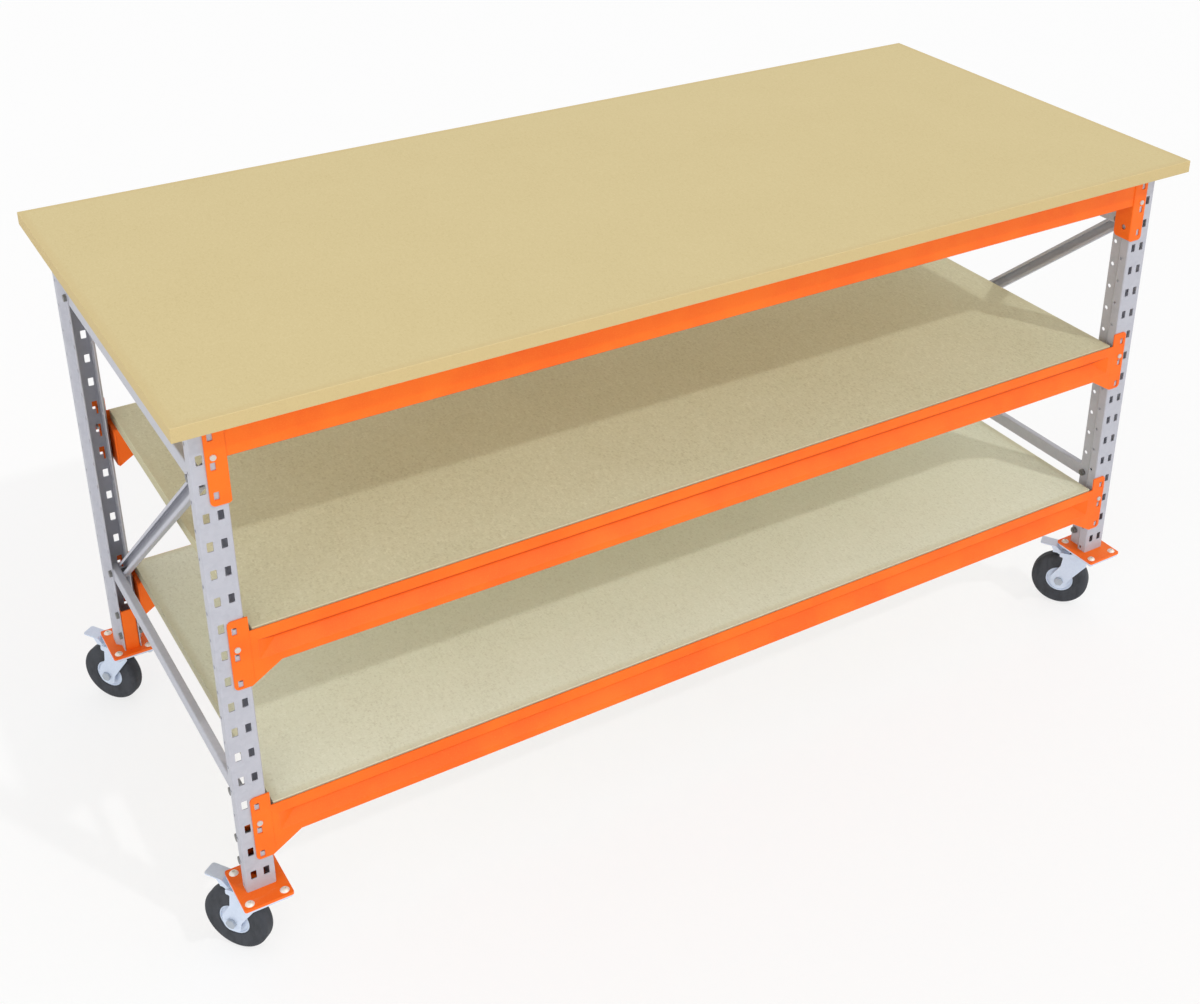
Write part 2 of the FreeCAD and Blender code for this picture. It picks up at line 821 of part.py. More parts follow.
def fork():
    half = fork_outer_width / 2
    web = box(vec(-fork_web_end, -half, crown_bottom_z), vec(fork_web_end, half, crown_top_z))
    crown = rod(fork_crown_radius, vec(0, 0, crown_bottom_z), vec(0, 0, crown_top_z))
    race_top_z = crown_top_z + inner_race_height
    race = ring(inner_race_radius, inner_race_radius - fork_sheet, crown_bottom_z, race_top_z)
    pin = rod(pedal_pin_radius, pedal_pivot(-half), pedal_pivot(half))
    body = web.fuse([crown, race, fork_side(-half), fork_side(half - fork_sheet), pin])
    bore = rod(kingpin_radius + running_gap, vec(0, 0, crown_bottom_z - 1), vec(0, 0, crown_top_z + 1))
    axle_bore = rod(axle_radius + running_gap, axle_point(-half - 1), axle_point(half + 1))
    return body.cut([bore, axle_bore]).removeSplitter()


def axle_point(y):
    return vec(castor_trail, y, wheel_radius)


def axle():
    """Axle bolt with its nut run up to the fork."""
    half = fork_outer_width / 2
    head = pointed(hexagon(axle_head_across_flats, axle_head_height), axle_point(half), Y_AXIS)
    nut = pointed(hexagon(axle_head_across_flats, axle_head_height), axle_point(-half), -Y_AXIS)
    shank = rod(axle_radius, axle_point(-half - axle_head_height - bolt_end_margin), axle_point(half))
    return shank.fuse([head, nut]).removeSplitter()


def turned(outline, radii):
    """Solid of revolution about the axle, from half sections of (radius, distance along the axle)."""
    points = [vec(radius, y, 0) for radius, y in outline]
    solid = rounded_face(points, radii).revolve(vec(0, 0, 0), Y_AXIS, 360)
    solid.translate(axle_point(0))
    return solid


def wheel_rim():
    hub_half = fork_inner_half - hub_gap
    rim_half = rim_width / 2
    bore = axle_radius + running_gap
    dish = rim_half - rim_dish_depth
    half_outline = [
        (bore, hub_half, 0),
        (hub_radius, hub_half, rim_corner),
        (hub_radius, dish, rim_corner),
        (rim_radius - rim_lip, dish, rim_corner),
        (rim_radius - rim_lip, rim_half, rim_edge_corner),
        (rim_radius, rim_half, rim_edge_corner),
        (rim_radius, rim_bead_width / 2, 0),
        (rim_radius + rim_bead_depth, rim_bead_width / 2, 0),
    ]
    outline = half_outline + [(radius, -y, bend) for radius, y, bend in half_outline[::-1]]
    return turned([(radius, y) for radius, y, bend in outline], [bend for radius, y, bend in outline])


def tyre():
    half = tyre_width / 2
    half_outline = [
        (rim_radius + rim_bead_depth, rim_bead_width / 2, 0),
        (rim_radius, rim_bead_width / 2, 0),
        (rim_radius, half, tyre_foot_corner),
        (wheel_radius, half, tyre_shoulder),
    ]
    outline = half_outline + [(radius, -y, bend) for radius, y, bend in half_outline[::-1]]
    return turned([(radius, y) for radius, y, bend in outline], [bend for radius, y, bend in outline])


def pedal_pivot(y):
    return vec(pedal_pivot_reach, y, crown_top_z - pedal_pivot_drop)


def pedal_profile():
    """Underside of the brake pedal's plate, from its tail to its tip."""
    tail = pedal_pivot_reach - pedal_tail
    knee = pedal_pivot_reach + pedal_arm
    shin = knee + pedal_rise
    low_z = pedal_pivot(0).z + pedal_pin_radius + pedal_pin_gap
    return [
        (tail, low_z),
        (knee, low_z),
        (shin, low_z + pedal_rise),
        (pedal_tip_reach, low_z + pedal_rise + pedal_tip_rise),
    ]


def brake_pedal():
    """Bent plate with two cheeks on the pivot and a shoe that stands over the tyre."""
    profile = pedal_profile()
    half = pedal_width / 2
    path = [vec(x, half, z) for x, z in profile]
    plate = sheet_prism(path, pedal_sheet, pedal_sheet, -Y_AXIS * pedal_width)
    tip_edges = []
    for edge in plate.Edges:
        if edge.BoundBox.XMin > pedal_tip_reach - pedal_sheet and edge.Length < pedal_width / 2:
            tip_edges.append(edge)
    plate = plate.makeFillet(pedal_tip_corner, tip_edges)
    tail, knee, shin = profile[:3]
    pivot = pedal_pivot(0)
    foot_z = pivot.z - pedal_pin_radius - pedal_cheek_margin
    cheek_outline = [
        (tail[0], foot_z, pedal_cheek_corner),
        (knee[0], foot_z, pedal_cheek_corner),
        (shin[0] + pedal_shoe_start, foot_z + pedal_cheek_rise, pedal_cheek_corner),
        (shin[0] + pedal_cheek_rise, shin[1] + pedal_sheet / 2, 0),
        (shin[0], shin[1] + pedal_sheet / 2, 0),
        (knee[0], knee[1] + pedal_sheet / 2, 0),
        (tail[0], tail[1] + pedal_sheet / 2, 0),
    ]
    radii = [radius for x, z, radius in cheek_outline]
    pieces = []
    for low_y in (-half, half - pedal_sheet):
        points = [vec(x, low_y, z) for x, z, radius in cheek_outline]
        pieces.append(prism(points, radii, Y_AXIS * pedal_sheet))
    shoe_z = pivot.z - pedal_shoe_drop
    shoe_x = knee[0] + pedal_shoe_start
    shoe_outline = [
        (shoe_x, shoe_z),
        (shoe_x + pedal_shoe_length, shoe_z),
        (shoe_x + pedal_shoe_length, shin[1] + pedal_sheet / 2),
        (shin[0], shin[1] + pedal_sheet / 2),
        (shoe_x, knee[1] + pedal_shoe_start),
    ]
    points = [vec(x, -half + pedal_sheet, z) for x, z in shoe_outline]
    pieces.append(prism(points, [0] * len(points), Y_AXIS * (pedal_width - 2 * pedal_sheet)))
    bore = rod(pedal_pin_radius + running_gap, pedal_pivot(-pedal_width), pedal_pivot(pedal_width))
    return plate.fuse(pieces).cut(bore).removeSplitter()


def at_castor(shape, across, along):
    """Copy of a castor's piece, turned to the heading and moved to a corner."""
    copy = shape.copy()
    copy.rotate(vec(0, 0, 0), Z_AXIS, castor_heading)
    copy.translate(vec(across * post_x, along * castor_y, 0))
    return copy


def under_post(shape, across, along):
    """Copy of a piece made about the swivel axis, moved to a corner without turning."""
    copy = shape.copy()
    copy.translate(vec(across * post_x, along * castor_y, 0))
    return copy


# The assembly

pieces = {
    "worktop": [worktop()],
    "mid_shelf": [shelf_board(mid_shelf_row)],
    "low_shelf": [shelf_board(low_shelf_row)],
}

for name, across, along in CORNERS:
    pieces[f"post_{name}"] = [mirrored(post(), across, along)]
    pieces[f"footplate_{name}"] = [mirrored(footplate(), across, along)]

for side, across in SIDES:
    for name, solid in end_frame_braces(across).items():
        pieces[f"{name}_brace_{side}"] = [solid]

beams = {
    "top": (top_beam(), top_connector(), safety_pin(top_row, top_pin_rise)),
}
for level, row in (("mid", mid_shelf_row), ("low", low_shelf_row)):
    beams[level] = (shelf_beam(row), shelf_connector(row), safety_pin(row, shelf_pin_rise))

pieces["safety_pins"] = []
for level, (beam, plate, pin) in beams.items():
    for depth, along in DEPTHS:
        pieces[f"{level}_beam_{depth}"] = [mirrored(beam, -1, along)]
        pieces[f"{level}_connectors_{depth}"] = [mirrored(plate, across, along) for side, across in SIDES]
        pieces["safety_pins"].extend([mirrored(pin, across, along) for side, across in SIDES])

frame_bolts, frame_nuts = frame_fasteners()
castor_bolts, castor_nuts = castor_fasteners()
shared = {
    "frame_bolts": (frame_bolts, mirrored),
    "frame_nuts": (frame_nuts, mirrored),
    "castor_bolts": (castor_bolts, under_post),
    "castor_nuts": (castor_nuts, under_post),
    "kingpins": ([kingpin()], under_post),
    "ball_cages": ([ball_cage()], at_castor),
}
for name, (solids, place) in shared.items():
    pieces[name] = [place(solid, across, along) for corner, across, along in CORNERS for solid in solids]

castor_pieces = {
    "castor_plate": (castor_plate(), under_post),
    "castor_fork": (fork(), at_castor),
    "castor_axle": (axle(), at_castor),
    "wheel_rim": (wheel_rim(), at_castor),
    "tyre": (tyre(), at_castor),
    "brake_pedal": (brake_pedal(), at_castor),
}
for piece, (solid, place) in castor_pieces.items():
    for name, across, along in CORNERS:
        pieces[f"{piece}_{name}"] = [place(solid, across, along)]

# The castors trail to one side, so the table's middle stands off the origin: the origin lies
# on the floor under the middle of the whole outline, to the nearest millimetre.
everything = Part.Compound([solid for solids in pieces.values() for solid in solids])
outline_box = everything.optimalBoundingBox(False)
shift = vec(-round(outline_box.Center.x), -round(outline_box.Center.y), 0)
print("table middle at", shift.x, shift.y)

os.makedirs("parts", exist_ok=True)
for name, solids in pieces.items():
    node = Part.Compound(solids) if len(solids) > 1 else solids[0]
    node = node.copy()
    node.translate(shift)
    node.exportStep(f"parts/{name}.step")
print(len(pieces), "nodes")
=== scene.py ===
import bpy
import bmesh
import math
from mathutils import Euler, Matrix, Vector


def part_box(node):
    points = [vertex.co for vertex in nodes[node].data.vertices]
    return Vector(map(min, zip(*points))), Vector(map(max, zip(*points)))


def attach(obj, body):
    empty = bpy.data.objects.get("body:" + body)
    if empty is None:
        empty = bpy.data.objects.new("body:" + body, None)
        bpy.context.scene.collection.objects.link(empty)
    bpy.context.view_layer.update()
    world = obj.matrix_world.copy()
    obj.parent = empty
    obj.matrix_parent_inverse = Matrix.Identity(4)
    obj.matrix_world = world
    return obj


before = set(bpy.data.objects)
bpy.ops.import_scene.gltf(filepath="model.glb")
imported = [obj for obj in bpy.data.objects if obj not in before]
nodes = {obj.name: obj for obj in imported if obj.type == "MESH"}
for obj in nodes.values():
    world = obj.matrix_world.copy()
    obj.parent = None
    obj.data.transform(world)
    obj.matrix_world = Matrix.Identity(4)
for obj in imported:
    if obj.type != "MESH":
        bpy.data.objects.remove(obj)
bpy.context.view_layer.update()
print("frame loaded:", len(nodes), "nodes")


class Signal:
    # one socket of a material's graph; an expression on signals adds its own Math nodes
    def __init__(self, graph, socket):
        self.graph = graph
        self.socket = socket

    def __add__(self, other):
        return self.graph.maths("ADD", self, other)

    def __sub__(self, other):
        return self.graph.maths("SUBTRACT", self, other)

    def __mul__(self, other):
        return self.graph.maths("MULTIPLY", self, other)

    def __radd__(self, other):
        return self.graph.maths("ADD", other, self)

    def __rsub__(self, other):
        return self.graph.maths("SUBTRACT", other, self)

    def __rmul__(self, other):
        return self.graph.maths("MULTIPLY", other, self)


class Graph:
    # the nodes of one material or of the world
    def __init__(self, tree):
        self.tree = tree
        self.tree.nodes.clear()
        self.coordinates = self.tree.nodes.new("ShaderNodeTexCoord")

    def add(self, kind, settings=None, values=None, out=0):
        # settings go on the node first, then each value is linked or written to its socket
        node = self.tree.nodes.new(kind)
        for key, value in (settings or {}).items():
            setattr(node, key, value)
        for key, value in (values or {}).items():
            if isinstance(value, Signal):
                self.tree.links.new(value.socket, node.inputs[key])
            else:
                node.inputs[key].default_value = value
        return Signal(self, node.outputs[out])

    def maths(self, operation, *values):
        return self.add("ShaderNodeMath", {"operation": operation}, dict(enumerate(values)))

    def clamp(self, value):
        return self.add("ShaderNodeClamp", None, {"Value": value})

    def read(self, output):
        return Signal(self, self.coordinates.outputs[output])

    def place(self, scale=(1, 1, 1), turn=0.0):
        values = {"Vector": self.read("Object"), "Scale": scale, "Rotation": (0, 0, turn)}
        return self.add("ShaderNodeMapping", None, values)

    def along(self, vector, axis):
        # axis 0, 1 or 2 for X, Y or Z
        return self.add("ShaderNodeSeparateXYZ", None, {"Vector": vector}, out=axis)

    def noise(self, where, size, detail=2.0, roughness=0.5):
        values = {"Vector": where, "Scale": 1 / size, "Detail": detail, "Roughness": roughness}
        return self.add("ShaderNodeTexNoise", None, values)

    def flakes(self, where, size):
        # one random grey per cell
        values = {"Vector": where, "Scale": 1 / size}
        cell = self.add("ShaderNodeTexVoronoi", None, values, out="Color")
        return self.add("ShaderNodeRGBToBW", None, {"Color": cell})

    def step(self, value, low, high):
        # 0 below low and 1 above high, smooth between them
        values = {"Value": value, "From Min": low, "From Max": high}
        return self.add("ShaderNodeMapRange", {"interpolation_type": "SMOOTHSTEP"}, values)

    def mix(self, share, first, second):
        # a Mix node has its own sockets for each kind of data, so the ones for colours are numbered
        factor, firstColour, secondColour, result = 0, 6, 7, 2
        values = {factor: share, firstColour: first, secondColour: second}
        return self.add("ShaderNodeMix", {"data_type": "RGBA"}, values, out=result)

    def bump(self, height, strength, distance):
        values = {"Height": height, "Strength": strength, "Distance": distance}
        return self.add("ShaderNodeBump", None, values)

    def principled(self, colour, roughness, normal, **constants):
        values = {"Base Color": colour, "Roughness": roughness, "Normal": normal}
        values.update({key.replace("_", " "): value for key, value in constants.items()})
        return self.add("ShaderNodeBsdfPrincipled", None, values)

    def sightRays(self):
        # 1 for the rays that show the background: straight from the camera, mirrored or let through
        path = self.tree.nodes.new("ShaderNodeLightPath")
        seen, mirrored, through = (
            Signal(self, path.outputs[f"Is {kind} Ray"]) for kind in ("Camera", "Glossy", "Transmission")
        )
        return self.clamp(seen + mirrored + through)

    def toSurface(self, shader, kind="ShaderNodeOutputMaterial"):
        output = self.tree.nodes.new(kind)
        self.tree.links.new(shader.socket, output.inputs["Surface"])


def newMaterial(name):
    material = bpy.data.materials.new(name)
    material.use_nodes = True
    return material, Graph(material.node_tree)


# the sRGB curve, from a screen value to linear light
screenCurve = {"top": 255, "straightEnd": 0.04045, "straightSlope": 12.92, "lift": 0.055, "power": 2.4}


def linear(value):
    value = value / screenCurve["top"]
    if value <= screenCurve["straightEnd"]:
        return value / screenCurve["straightSlope"]
    lift = screenCurve["lift"]
    return ((value + lift) / (1 + lift)) ** screenCurve["power"]


def rgb(red, green, blue):
    return (linear(red), linear(green), linear(blue), 1.0)


# boards: pressed wood flakes, sanded on the faces and open at the edges; the side faces show the core,
# drawn darker as painted shade
worktopLook = {
    "wood": rgb(214, 196, 145),
    "pale": rgb(224, 208, 160),
    "dark": rgb(201, 181, 128),
    "speck": rgb(164, 142, 98),
    "rim": rgb(210, 187, 134),
    "coreAndShade": rgb(184, 163, 116),
    "flake": 0.0022,
    "contrast": 0.55,
    "speckShare": 0.06,
    "pores": 0.22,
}
midShelfLook = {
    "wood": rgb(212, 210, 179),
    "pale": rgb(225, 224, 196),
    "dark": rgb(195, 191, 158),
    "speck": rgb(150, 142, 112),
    "rim": rgb(208, 202, 170),
    "coreAndShade": rgb(146, 134, 98),
    "flake": 0.0032,
    "contrast": 0.85,
    "speckShare": 0.10,
    "pores": 0.25,
}
lowShelfLook = {
    **midShelfLook,
    "wood": rgb(227, 228, 205),
    "pale": rgb(236, 237, 217),
    "dark": rgb(212, 211, 187),
}
# what the three boards share; the sizes of crossing flakes, dust and pores are shares of a flake
chipLook = {
    "lyingStretch": (1, 0.45, 1),
    "lyingTurn": 0.3,
    "lyingShare": 0.35,
    "crossingStretch": (0.5, 1, 1),
    "crossingTurn": -0.5,
    "crossingSize": 0.6,
    "crossingShare": 0.35,
    "dustSize": 0.3,
    "dustGrain": (3.0, 0.6),
    "dustShare": 0.45,
    "clouds": (0.18, 3.0, 0.55),
    "cloudShare": 0.3,
    "middle": 0.5,
    "meanSum": 0.72,
    "woodTones": (0.2, 0.5),
    "paleTones": (0.5, 0.85),
    "sideSlopes": (0.4, 0.8),
    "rimWidth": 0.02,
    "rimFade": 0.8,
    "rimShare": 0.5,
    "speckDust": (0.45, 0.6),
    "speckDepth": 0.5,
    "coreAndShadeShare": 0.42,
    "poreSize": 0.7,
    "poreGrain": (4.0, 0.7),
    "poreTones": (0.52, 0.68),
    "roughness": 0.62,
    "dustRoughness": 0.12,
    "sideRoughness": 0.15,
    "lyingRelief": 0.4,
    "dustRelief": 0.6,
    "poreRelief": 2.0,
    "relief": (0.2, 0.0003),
    "gloss": 0.3,
}


def chipboard(name, boardLook, node):
    look = {**chipLook, **boardLook}
    material, graph = newMaterial(name)
    size = look["flake"]
    flat = graph.place()
    lying = graph.flakes(graph.place(look["lyingStretch"], look["lyingTurn"]), size)
    crossingPlace = graph.place(look["crossingStretch"], look["crossingTurn"])
    crossing = graph.flakes(crossingPlace, size * look["crossingSize"])
    dust = graph.noise(flat, size * look["dustSize"], *look["dustGrain"])
    clouds = graph.noise(flat, *look["clouds"])
    slope = graph.maths("ABSOLUTE", graph.along(graph.read("Normal"), 2))
    side = 1 - graph.step(slope, *look["sideSlopes"])
    chips = lying * look["lyingShare"] + crossing * look["crossingShare"]
    chips = chips + dust * look["dustShare"] + clouds * look["cloudShare"]
    tone = look["middle"] + (chips - look["meanSum"]) * look["contrast"]
    wood = graph.mix(graph.step(tone, *look["woodTones"]), look["dark"], look["wood"])
    wood = graph.mix(graph.step(tone, *look["paleTones"]), wood, look["pale"])
    lowest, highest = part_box(node)
    reach = []  # how far a point lies into the strip along the board's rim
    for axis in (0, 1):
        middle = (lowest[axis] + highest[axis]) / 2
        half = (highest[axis] - lowest[axis]) / 2
        offset = graph.maths("ABSOLUTE", graph.along(graph.read("Object"), axis) - middle)
        reach.append(offset - (half - look["rimWidth"]))
    rim = graph.step(graph.maths("MAXIMUM", *reach), 0.0, look["rimWidth"] * look["rimFade"])
    wood = graph.mix(rim * look["rimShare"], wood, look["rim"])
    specks = graph.step(crossing, 1 - look["speckShare"], 1.0) * graph.step(dust, *look["speckDust"])
    wood = graph.mix(specks * look["speckDepth"], wood, look["speck"])
    # side faces take the core colour: partly the board's real core, partly painted shade that darkens
    # the sunlit edges
    wood = graph.mix(side * look["coreAndShadeShare"], wood, look["coreAndShade"])
    pits = graph.noise(flat, size * look["poreSize"], *look["poreGrain"])
    pores = graph.step(pits, *look["poreTones"]) * side
    wood = graph.mix(pores * look["pores"], wood, look["speck"])
    roughness = look["roughness"] + dust * look["dustRoughness"] + side * look["sideRoughness"]
    height = lying * look["lyingRelief"] + dust * look["dustRelief"] - pores * look["poreRelief"]
    normal = graph.bump(height, *look["relief"])
    graph.toSurface(graph.principled(wood, roughness, normal, Specular_IOR_Level=look["gloss"]))
    return material


boards = {
    "worktop": chipboard("worktopBoard", worktopLook, "worktop"),
    "mid_shelf": chipboard("midShelfBoard", midShelfLook, "mid_shelf"),
    "low_shelf": chipboard("lowShelfBoard", lowShelfLook, "low_shelf"),
}
print("boards done")

# beams, connectors and footplates: orange powder coat with a fine orange peel, dusty on the faces
# that point up, with painted shade (a deeper orange) on the ones that point down
paintLook = {
    "colour": rgb(249, 113, 20),
    "pale": rgb(252, 127, 36),
    "deep": rgb(243, 99, 14),
    "dust": rgb(222, 168, 128),
    # painted shade: the deeper orange given to faces that point down, standing in for shade under edges
    # and grooves
    "under": rgb(214, 68, 6),
    "peel": 0.0016,
    "peelTones": (0.45, 0.75),
    "peelShare": 0.35,
    "drift": (0.12, 3.0, 0.55),
    "driftTones": (0.3, 0.7),
    "rubStretch": (0.25, 1, 1),
    "rub": (0.012, 4.0, 0.65),
    "rubTones": (0.5, 0.75),
    "upSlopes": (0.5, 0.95),
    "dustShare": 0.18,
    "paintedShadeSlopes": (-0.65, -0.35),
    "underShare": 0.8,
    "roughness": 0.42,
    "rubRoughness": 0.14,
    "relief": (0.12, 0.0003),
    "gloss": 0.28,
}


def powderCoat(name, look):
    material, graph = newMaterial(name)
    flat = graph.place()
    drift = graph.noise(flat, *look["drift"])
    peel = graph.noise(flat, look["peel"])
    rub = graph.noise(graph.place(look["rubStretch"]), *look["rub"])
    colour = graph.mix(graph.step(drift, *look["driftTones"]), look["deep"], look["colour"])
    colour = graph.mix(graph.step(peel, *look["peelTones"]) * look["peelShare"], colour, look["pale"])
    facing = graph.along(graph.read("Normal"), 2)
    dust = graph.step(facing, *look["upSlopes"]) * graph.step(rub, *look["rubTones"])
    colour = graph.mix(dust * look["dustShare"], colour, look["dust"])
    # painted shade: faces that point down are drawn a deeper orange, standing in for the shade beneath
    # edges and grooves
    paintedShadeMask = 1 - graph.step(facing, *look["paintedShadeSlopes"])
    colour = graph.mix(paintedShadeMask * look["underShare"], colour, look["under"])
    roughness = look["roughness"] + rub * look["rubRoughness"]
    normal = graph.bump(peel, *look["relief"])
    graph.toSurface(graph.principled(colour, roughness, normal, Specular_IOR_Level=look["gloss"]))
    return material


# bare metal: galvanised sheet for the posts and braces, bright zinc plate for the castors and bolts
postLook = {
    "base": rgb(183, 184, 193),
    "pale": rgb(198, 199, 207),
    "deep": rgb(168, 170, 180),
    "stain": rgb(150, 152, 159),
    "spangle": 0.007,
    "metallic": 0.2,
    "roughness": 0.42,
}
castorLook = {
    "base": rgb(208, 220, 238),
    "pale": rgb(222, 231, 245),
    "deep": rgb(192, 205, 226),
    "stain": rgb(170, 180, 198),
    "spangle": 0.004,
    "metallic": 0.25,
    "roughness": 0.34,
}
whiteBoltLook = {
    "base": rgb(232, 228, 218),
    "pale": rgb(244, 241, 234),
    "deep": rgb(214, 207, 194),
    "stain": rgb(184, 176, 160),
    "spangle": 0.002,
    "metallic": 0.3,
    "roughness": 0.32,
}
pinLook = {
    "base": rgb(205, 196, 190),
    "pale": rgb(222, 215, 210),
    "deep": rgb(186, 174, 166),
    "stain": rgb(150, 128, 114),
    "spangle": 0.002,
    "metallic": 0.3,
    "roughness": 0.34,
}
axleBoltLook = {
    "base": rgb(170, 178, 188),
    "pale": rgb(190, 197, 206),
    "deep": rgb(150, 157, 167),
    "stain": rgb(122, 126, 132),
    "spangle": 0.002,
    "metallic": 0.35,
    "roughness": 0.32,
}
darkBoltLook = {
    "base": rgb(120, 120, 118),
    "pale": rgb(139, 139, 137),
    "deep": rgb(101, 101, 99),
    "stain": rgb(84, 83, 80),
    "spangle": 0.002,
    "metallic": 0.4,
    "roughness": 0.36,
}


# what all the zinc finishes share
zincLook = {
    "wobble": 0.02,
    "wobbleShare": 0.5,
    "crystalShare": 0.5,
    "baseShare": 0.5,
    "grainStretch": (1, 1, 0.2),
    "grain": (0.003, 3.0, 0.6),
    "stains": (0.09, 4.0, 0.6),
    "stainTones": (0.58, 0.75),
    "stainShare": 0.25,
    "crystalRoughness": 0.10,
    "grainRoughness": 0.10,
    "grainRelief": 0.5,
    "crystalRelief": 0.2,
    "relief": (0.10, 0.0003),
}


def zinc(name, metalLook):
    look = {**zincLook, **metalLook}
    material, graph = newMaterial(name)
    flat = graph.place()
    wobble = graph.noise(flat, look["wobble"])
    crystals = graph.flakes(flat, look["spangle"])
    grain = graph.noise(graph.place(look["grainStretch"]), *look["grain"])
    stains = graph.noise(flat, *look["stains"])
    tone = graph.clamp(crystals * look["crystalShare"] + wobble * look["wobbleShare"])
    colour = graph.mix(tone, look["deep"], look["pale"])
    colour = graph.mix(look["baseShare"], colour, look["base"])
    stained = graph.step(stains, *look["stainTones"]) * look["stainShare"]
    colour = graph.mix(stained, colour, look["stain"])
    roughness = look["roughness"] + crystals * look["crystalRoughness"] + grain * look["grainRoughness"]
    height = grain * look["grainRelief"] + crystals * look["crystalRelief"]
    normal = graph.bump(height, *look["relief"])
    graph.toSurface(graph.principled(colour, roughness, normal, Metallic=look["metallic"]))
    return material


orangePaint = powderCoat("orangePaint", paintLook)
postZinc = zinc("postZinc", postLook)
castorZinc = zinc("castorZinc", castorLook)
whiteBolt = zinc("whiteBolt", whiteBoltLook)
pinZinc = zinc("pinZinc", pinLook)
axleBolt = zinc("axleBolt", axleBoltLook)
darkBolt = zinc("darkBolt", darkBoltLook)
print("metals done")

# tyres: solid black rubber with a little dust in its scuffs
tyreLook = {
    "rubber": rgb(60, 63, 69),
    "dusty": rgb(88, 90, 93),
    "deep": rgb(46, 49, 54),
    "grain": (0.0012, 3.0, 0.6),
    "scuffStretch": (1, 1, 0.4),
    "scuffs": (0.014, 5.0, 0.65),
    "rubberTones": (0.3, 0.6),
    "dustyTones": (0.6, 0.8),
    "dustyShare": 0.3,
    "roughness": 0.62,
    "grainRoughness": 0.2,
    "scuffRelief": 0.5,
    "relief": (0.2, 0.0003),
    "gloss": 0.4,
}


def rubber(name, look):
    material, graph = newMaterial(name)
    grain = graph.noise(graph.place(), *look["grain"])
    scuffs = graph.noise(graph.place(look["scuffStretch"]), *look["scuffs"])
    colour = graph.mix(graph.step(scuffs, *look["rubberTones"]), look["deep"], look["rubber"])
    dusty = graph.step(scuffs, *look["dustyTones"]) * look["dustyShare"]
    colour = graph.mix(dusty, colour, look["dusty"])
    roughness = look["roughness"] + grain * look["grainRoughness"]
    normal = graph.bump(grain + scuffs * look["scuffRelief"], *look["relief"])
    graph.toSurface(graph.principled(colour, roughness, normal, Specular_IOR_Level=look["gloss"]))
    return material


tyreBlack = rubber("tyreBlack", tyreLook)


def finishFor(name):
    if name in boards:
        return boards[name]
    if name.startswith("tyre"):
        return tyreBlack
    if "beam" in name or "connectors" in name or name.startswith("footplate"):
        return orangePaint
    if name.startswith("post") or "brace" in name:
        return postZinc
    if name == "castor_bolts":
        return whiteBolt
    if name == "safety_pins":
        return pinZinc
    if name in ("frame_bolts", "frame_nuts"):
        return darkBolt
    if name.startswith("castor_axle"):
        return axleBolt
    return castorZinc


for name, node in nodes.items():
    node.data.materials.clear()
    node.data.materials.append(finishFor(name))
print("finishes done")

# weld beads where a beam's end meets its connector
weldLook = {
    "radius": 0.0017,
    "ripple": 0.16,
    "step": 0.0011,
    "waveSteps": 4,
    "sides": 8,
    "fewestSteps": 8,
    "endSize": 0.5,
    "inset": 0.0006,
    "endMargin": 0.004,
    "topGap": 0.02,
}


def addBead(bm, look, start, end):
    # a rippled round bead on a straight seam, made by drawing a ring along it
    start, end = Vector(start), Vector(end)
    run = end - start
    count = max(int(run.length / look["step"]), look["fewestSteps"])
    turn = run.to_track_quat("Z", "Y").to_matrix().to_4x4()
    spot = Matrix.Translation(start) @ turn
    share = look["endSize"]
    radius = look["radius"] * share
    first = bmesh.ops.create_circle(bm, segments=look["sides"], radius=radius, matrix=spot)
    edges = list({edge for vert in first["verts"] for edge in vert.link_edges})
    bmesh.ops.contextual_create(bm, geom=edges)
    for i in range(1, count + 1):
        swell = 1 - look["ripple"] * (i % look["waveSteps"]) / look["waveSteps"]
        wanted = look["endSize"] if i == count else swell
        grown = bmesh.ops.extrude_edge_only(bm, edges=edges)["geom"]
        ring = [item for item in grown if isinstance(item, bmesh.types.BMVert)]
        edges = [item for item in grown if isinstance(item, bmesh.types.BMEdge)]
        edges = [edge for edge in edges if all(vert in ring for vert in edge.verts)]
        bmesh.ops.translate(bm, verts=ring, vec=run / count)
        centre = start + run * i / count
        size = wanted / share
        bmesh.ops.scale(bm, verts=ring, vec=(size, size, size), space=Matrix.Translation(-centre))
        share = wanted
    bmesh.ops.contextual_create(bm, geom=edges)


def addPiece(name, bm, material, body):
    bmesh.ops.recalc_face_normals(bm, faces=bm.faces)
    for face in bm.faces:
        face.smooth = True
    mesh = bpy.data.meshes.new(name)
    bm.to_mesh(mesh)
    bm.free()
    mesh.materials.append(material)
    piece = bpy.data.objects.new(name, mesh)
    bpy.context.scene.collection.objects.link(piece)
    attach(piece, body)


def weldBeam(level, depth, look):
    # two ends, each with one bead up the back of the beam and one along its foot
    lowest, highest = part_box(f"{level}_beam_{depth}")
    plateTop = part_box(f"{level}_connectors_{depth}")[1][2]
    inward = 1 if depth == "front" else -1
    backY = highest[1] if depth == "front" else lowest[1]
    frontY = lowest[1] if depth == "front" else highest[1]
    inset = look["inset"]
    margin = look["endMargin"]
    topZ = min(highest[2], plateTop) - margin
    bm = bmesh.new()
    for endX in (lowest[0], highest[0]):
        y = backY - inward * inset
        addBead(bm, look, (endX, y, lowest[2] + margin), (endX, y, topZ - look["topGap"]))
        z = lowest[2] + inset
        addBead(bm, look, (endX, frontY + inward * margin, z), (endX, backY - inward * margin, z))
    addPiece(f"welds_{level}_{depth}", bm, orangePaint, "frame")


for level in ("top", "mid", "low"):
    for depth in ("front", "back"):
        weldBeam(level, depth, weldLook)
print("welds done")

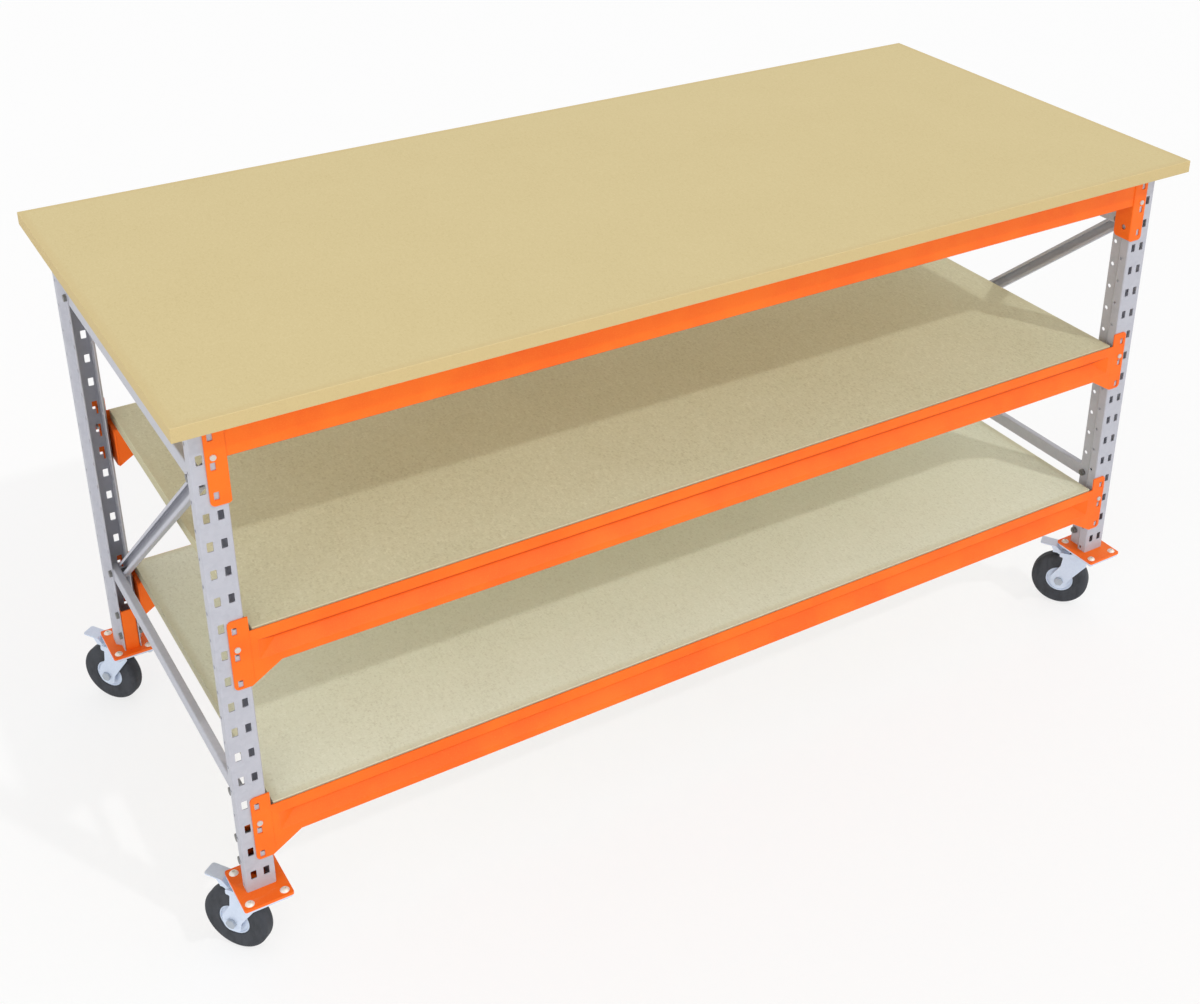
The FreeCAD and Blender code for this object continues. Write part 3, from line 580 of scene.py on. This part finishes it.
# a plain pale floor and an even studio sky that is brighter near the horizon
stageLook = {
    "floorSize": 60.0,
    "floor": (0.97, 0.97, 0.97, 1.0),
    "floorLow": (0.95, 0.95, 0.95, 1.0),
    "speckle": 0.5,
    "roughness": 0.9,
    "relief": (0.02, 0.001),
    "whiteShare": 0.72,
    "zenith": 0.5,
    "horizon": 1.4,
    "sun": {"strength": 0.68, "spread": 2.0, "towards": (0.448, -0.891, 1.0)},
    "fill": {"energy": 50.0, "size": 4.0, "place": (-4.5, -4.0, 3.0), "target": (0.0, 0.0, 0.5)},
}
white = (1.0, 1.0, 1.0, 1.0)


def addFloor(look):
    bm = bmesh.new()
    bmesh.ops.create_grid(bm, x_segments=2, y_segments=2, size=look["floorSize"] / 2)
    mesh = bpy.data.meshes.new("floor")
    bm.to_mesh(mesh)
    bm.free()
    floor = bpy.data.objects.new("floor", mesh)
    bpy.context.scene.collection.objects.link(floor)
    material, graph = newMaterial("paleFloor")
    speckle = graph.noise(graph.place(), look["speckle"])
    colour = graph.mix(speckle, look["floor"], look["floorLow"])
    shade = graph.principled(colour, look["roughness"], graph.bump(speckle, *look["relief"]))
    glow = graph.add("ShaderNodeEmission", None, {"Color": white, "Strength": 1.0})
    share = graph.sightRays() * look["whiteShare"]
    graph.toSurface(graph.add("ShaderNodeMixShader", None, {0: share, 1: shade, 2: glow}))
    mesh.materials.append(material)


def addLight(name, kind, energy, towards):
    data = bpy.data.lights.new(name, kind)
    data.energy = energy
    light = bpy.data.objects.new(name, data)
    light.rotation_euler = Vector(towards).to_track_quat("Z", "Y").to_euler()
    bpy.context.scene.collection.objects.link(light)
    return light


def addSky(look):
    world = bpy.data.worlds.new("studio")
    bpy.context.scene.world = world
    world.use_nodes = True
    graph = Graph(world.node_tree)
    height = graph.clamp(graph.along(graph.read("Generated"), 2))
    sky = look["horizon"] - height * (look["horizon"] - look["zenith"])
    seen = graph.sightRays()
    strength = seen + (1 - seen) * sky
    background = graph.add("ShaderNodeBackground", None, {"Color": white, "Strength": strength})
    graph.toSurface(background, "ShaderNodeOutputWorld")


addFloor(stageLook)
addSky(stageLook)
sun = addLight("sun", "SUN", stageLook["sun"]["strength"], stageLook["sun"]["towards"])
sun.data.angle = math.radians(stageLook["sun"]["spread"])
fillLook = stageLook["fill"]
fillAim = Vector(fillLook["place"]) - Vector(fillLook["target"])
fill = addLight("fill", "AREA", fillLook["energy"], fillAim)
fill.data.size = fillLook["size"]
fill.location = fillLook["place"]

cameraLook = {
    "place": (-1.488, -2.518, 2.253),
    "yaw": 32.18,
    "pitch": 26.17,
    "roll": 0.57,
    "lens": 50.0,
    "sensor": 36.0,
    "shift": (-0.0535, -0.160),
}
cameraData = bpy.data.cameras.new("camera")
cameraData.sensor_width = cameraLook["sensor"]
cameraData.lens = cameraLook["lens"]
cameraData.shift_x, cameraData.shift_y = cameraLook["shift"]
camera = bpy.data.objects.new("camera", cameraData)
camera.location = cameraLook["place"]
turns = (90 - cameraLook["pitch"], 0, -cameraLook["yaw"])
aim = Euler([math.radians(turn) for turn in turns]).to_matrix()
roll = Matrix.Rotation(math.radians(cameraLook["roll"]), 3, "Z")
camera.rotation_euler = (aim @ roll).to_euler()
bpy.context.scene.collection.objects.link(camera)
bpy.context.scene.camera = camera
bpy.context.scene.view_settings.view_transform = "Standard"
print("light and camera done")
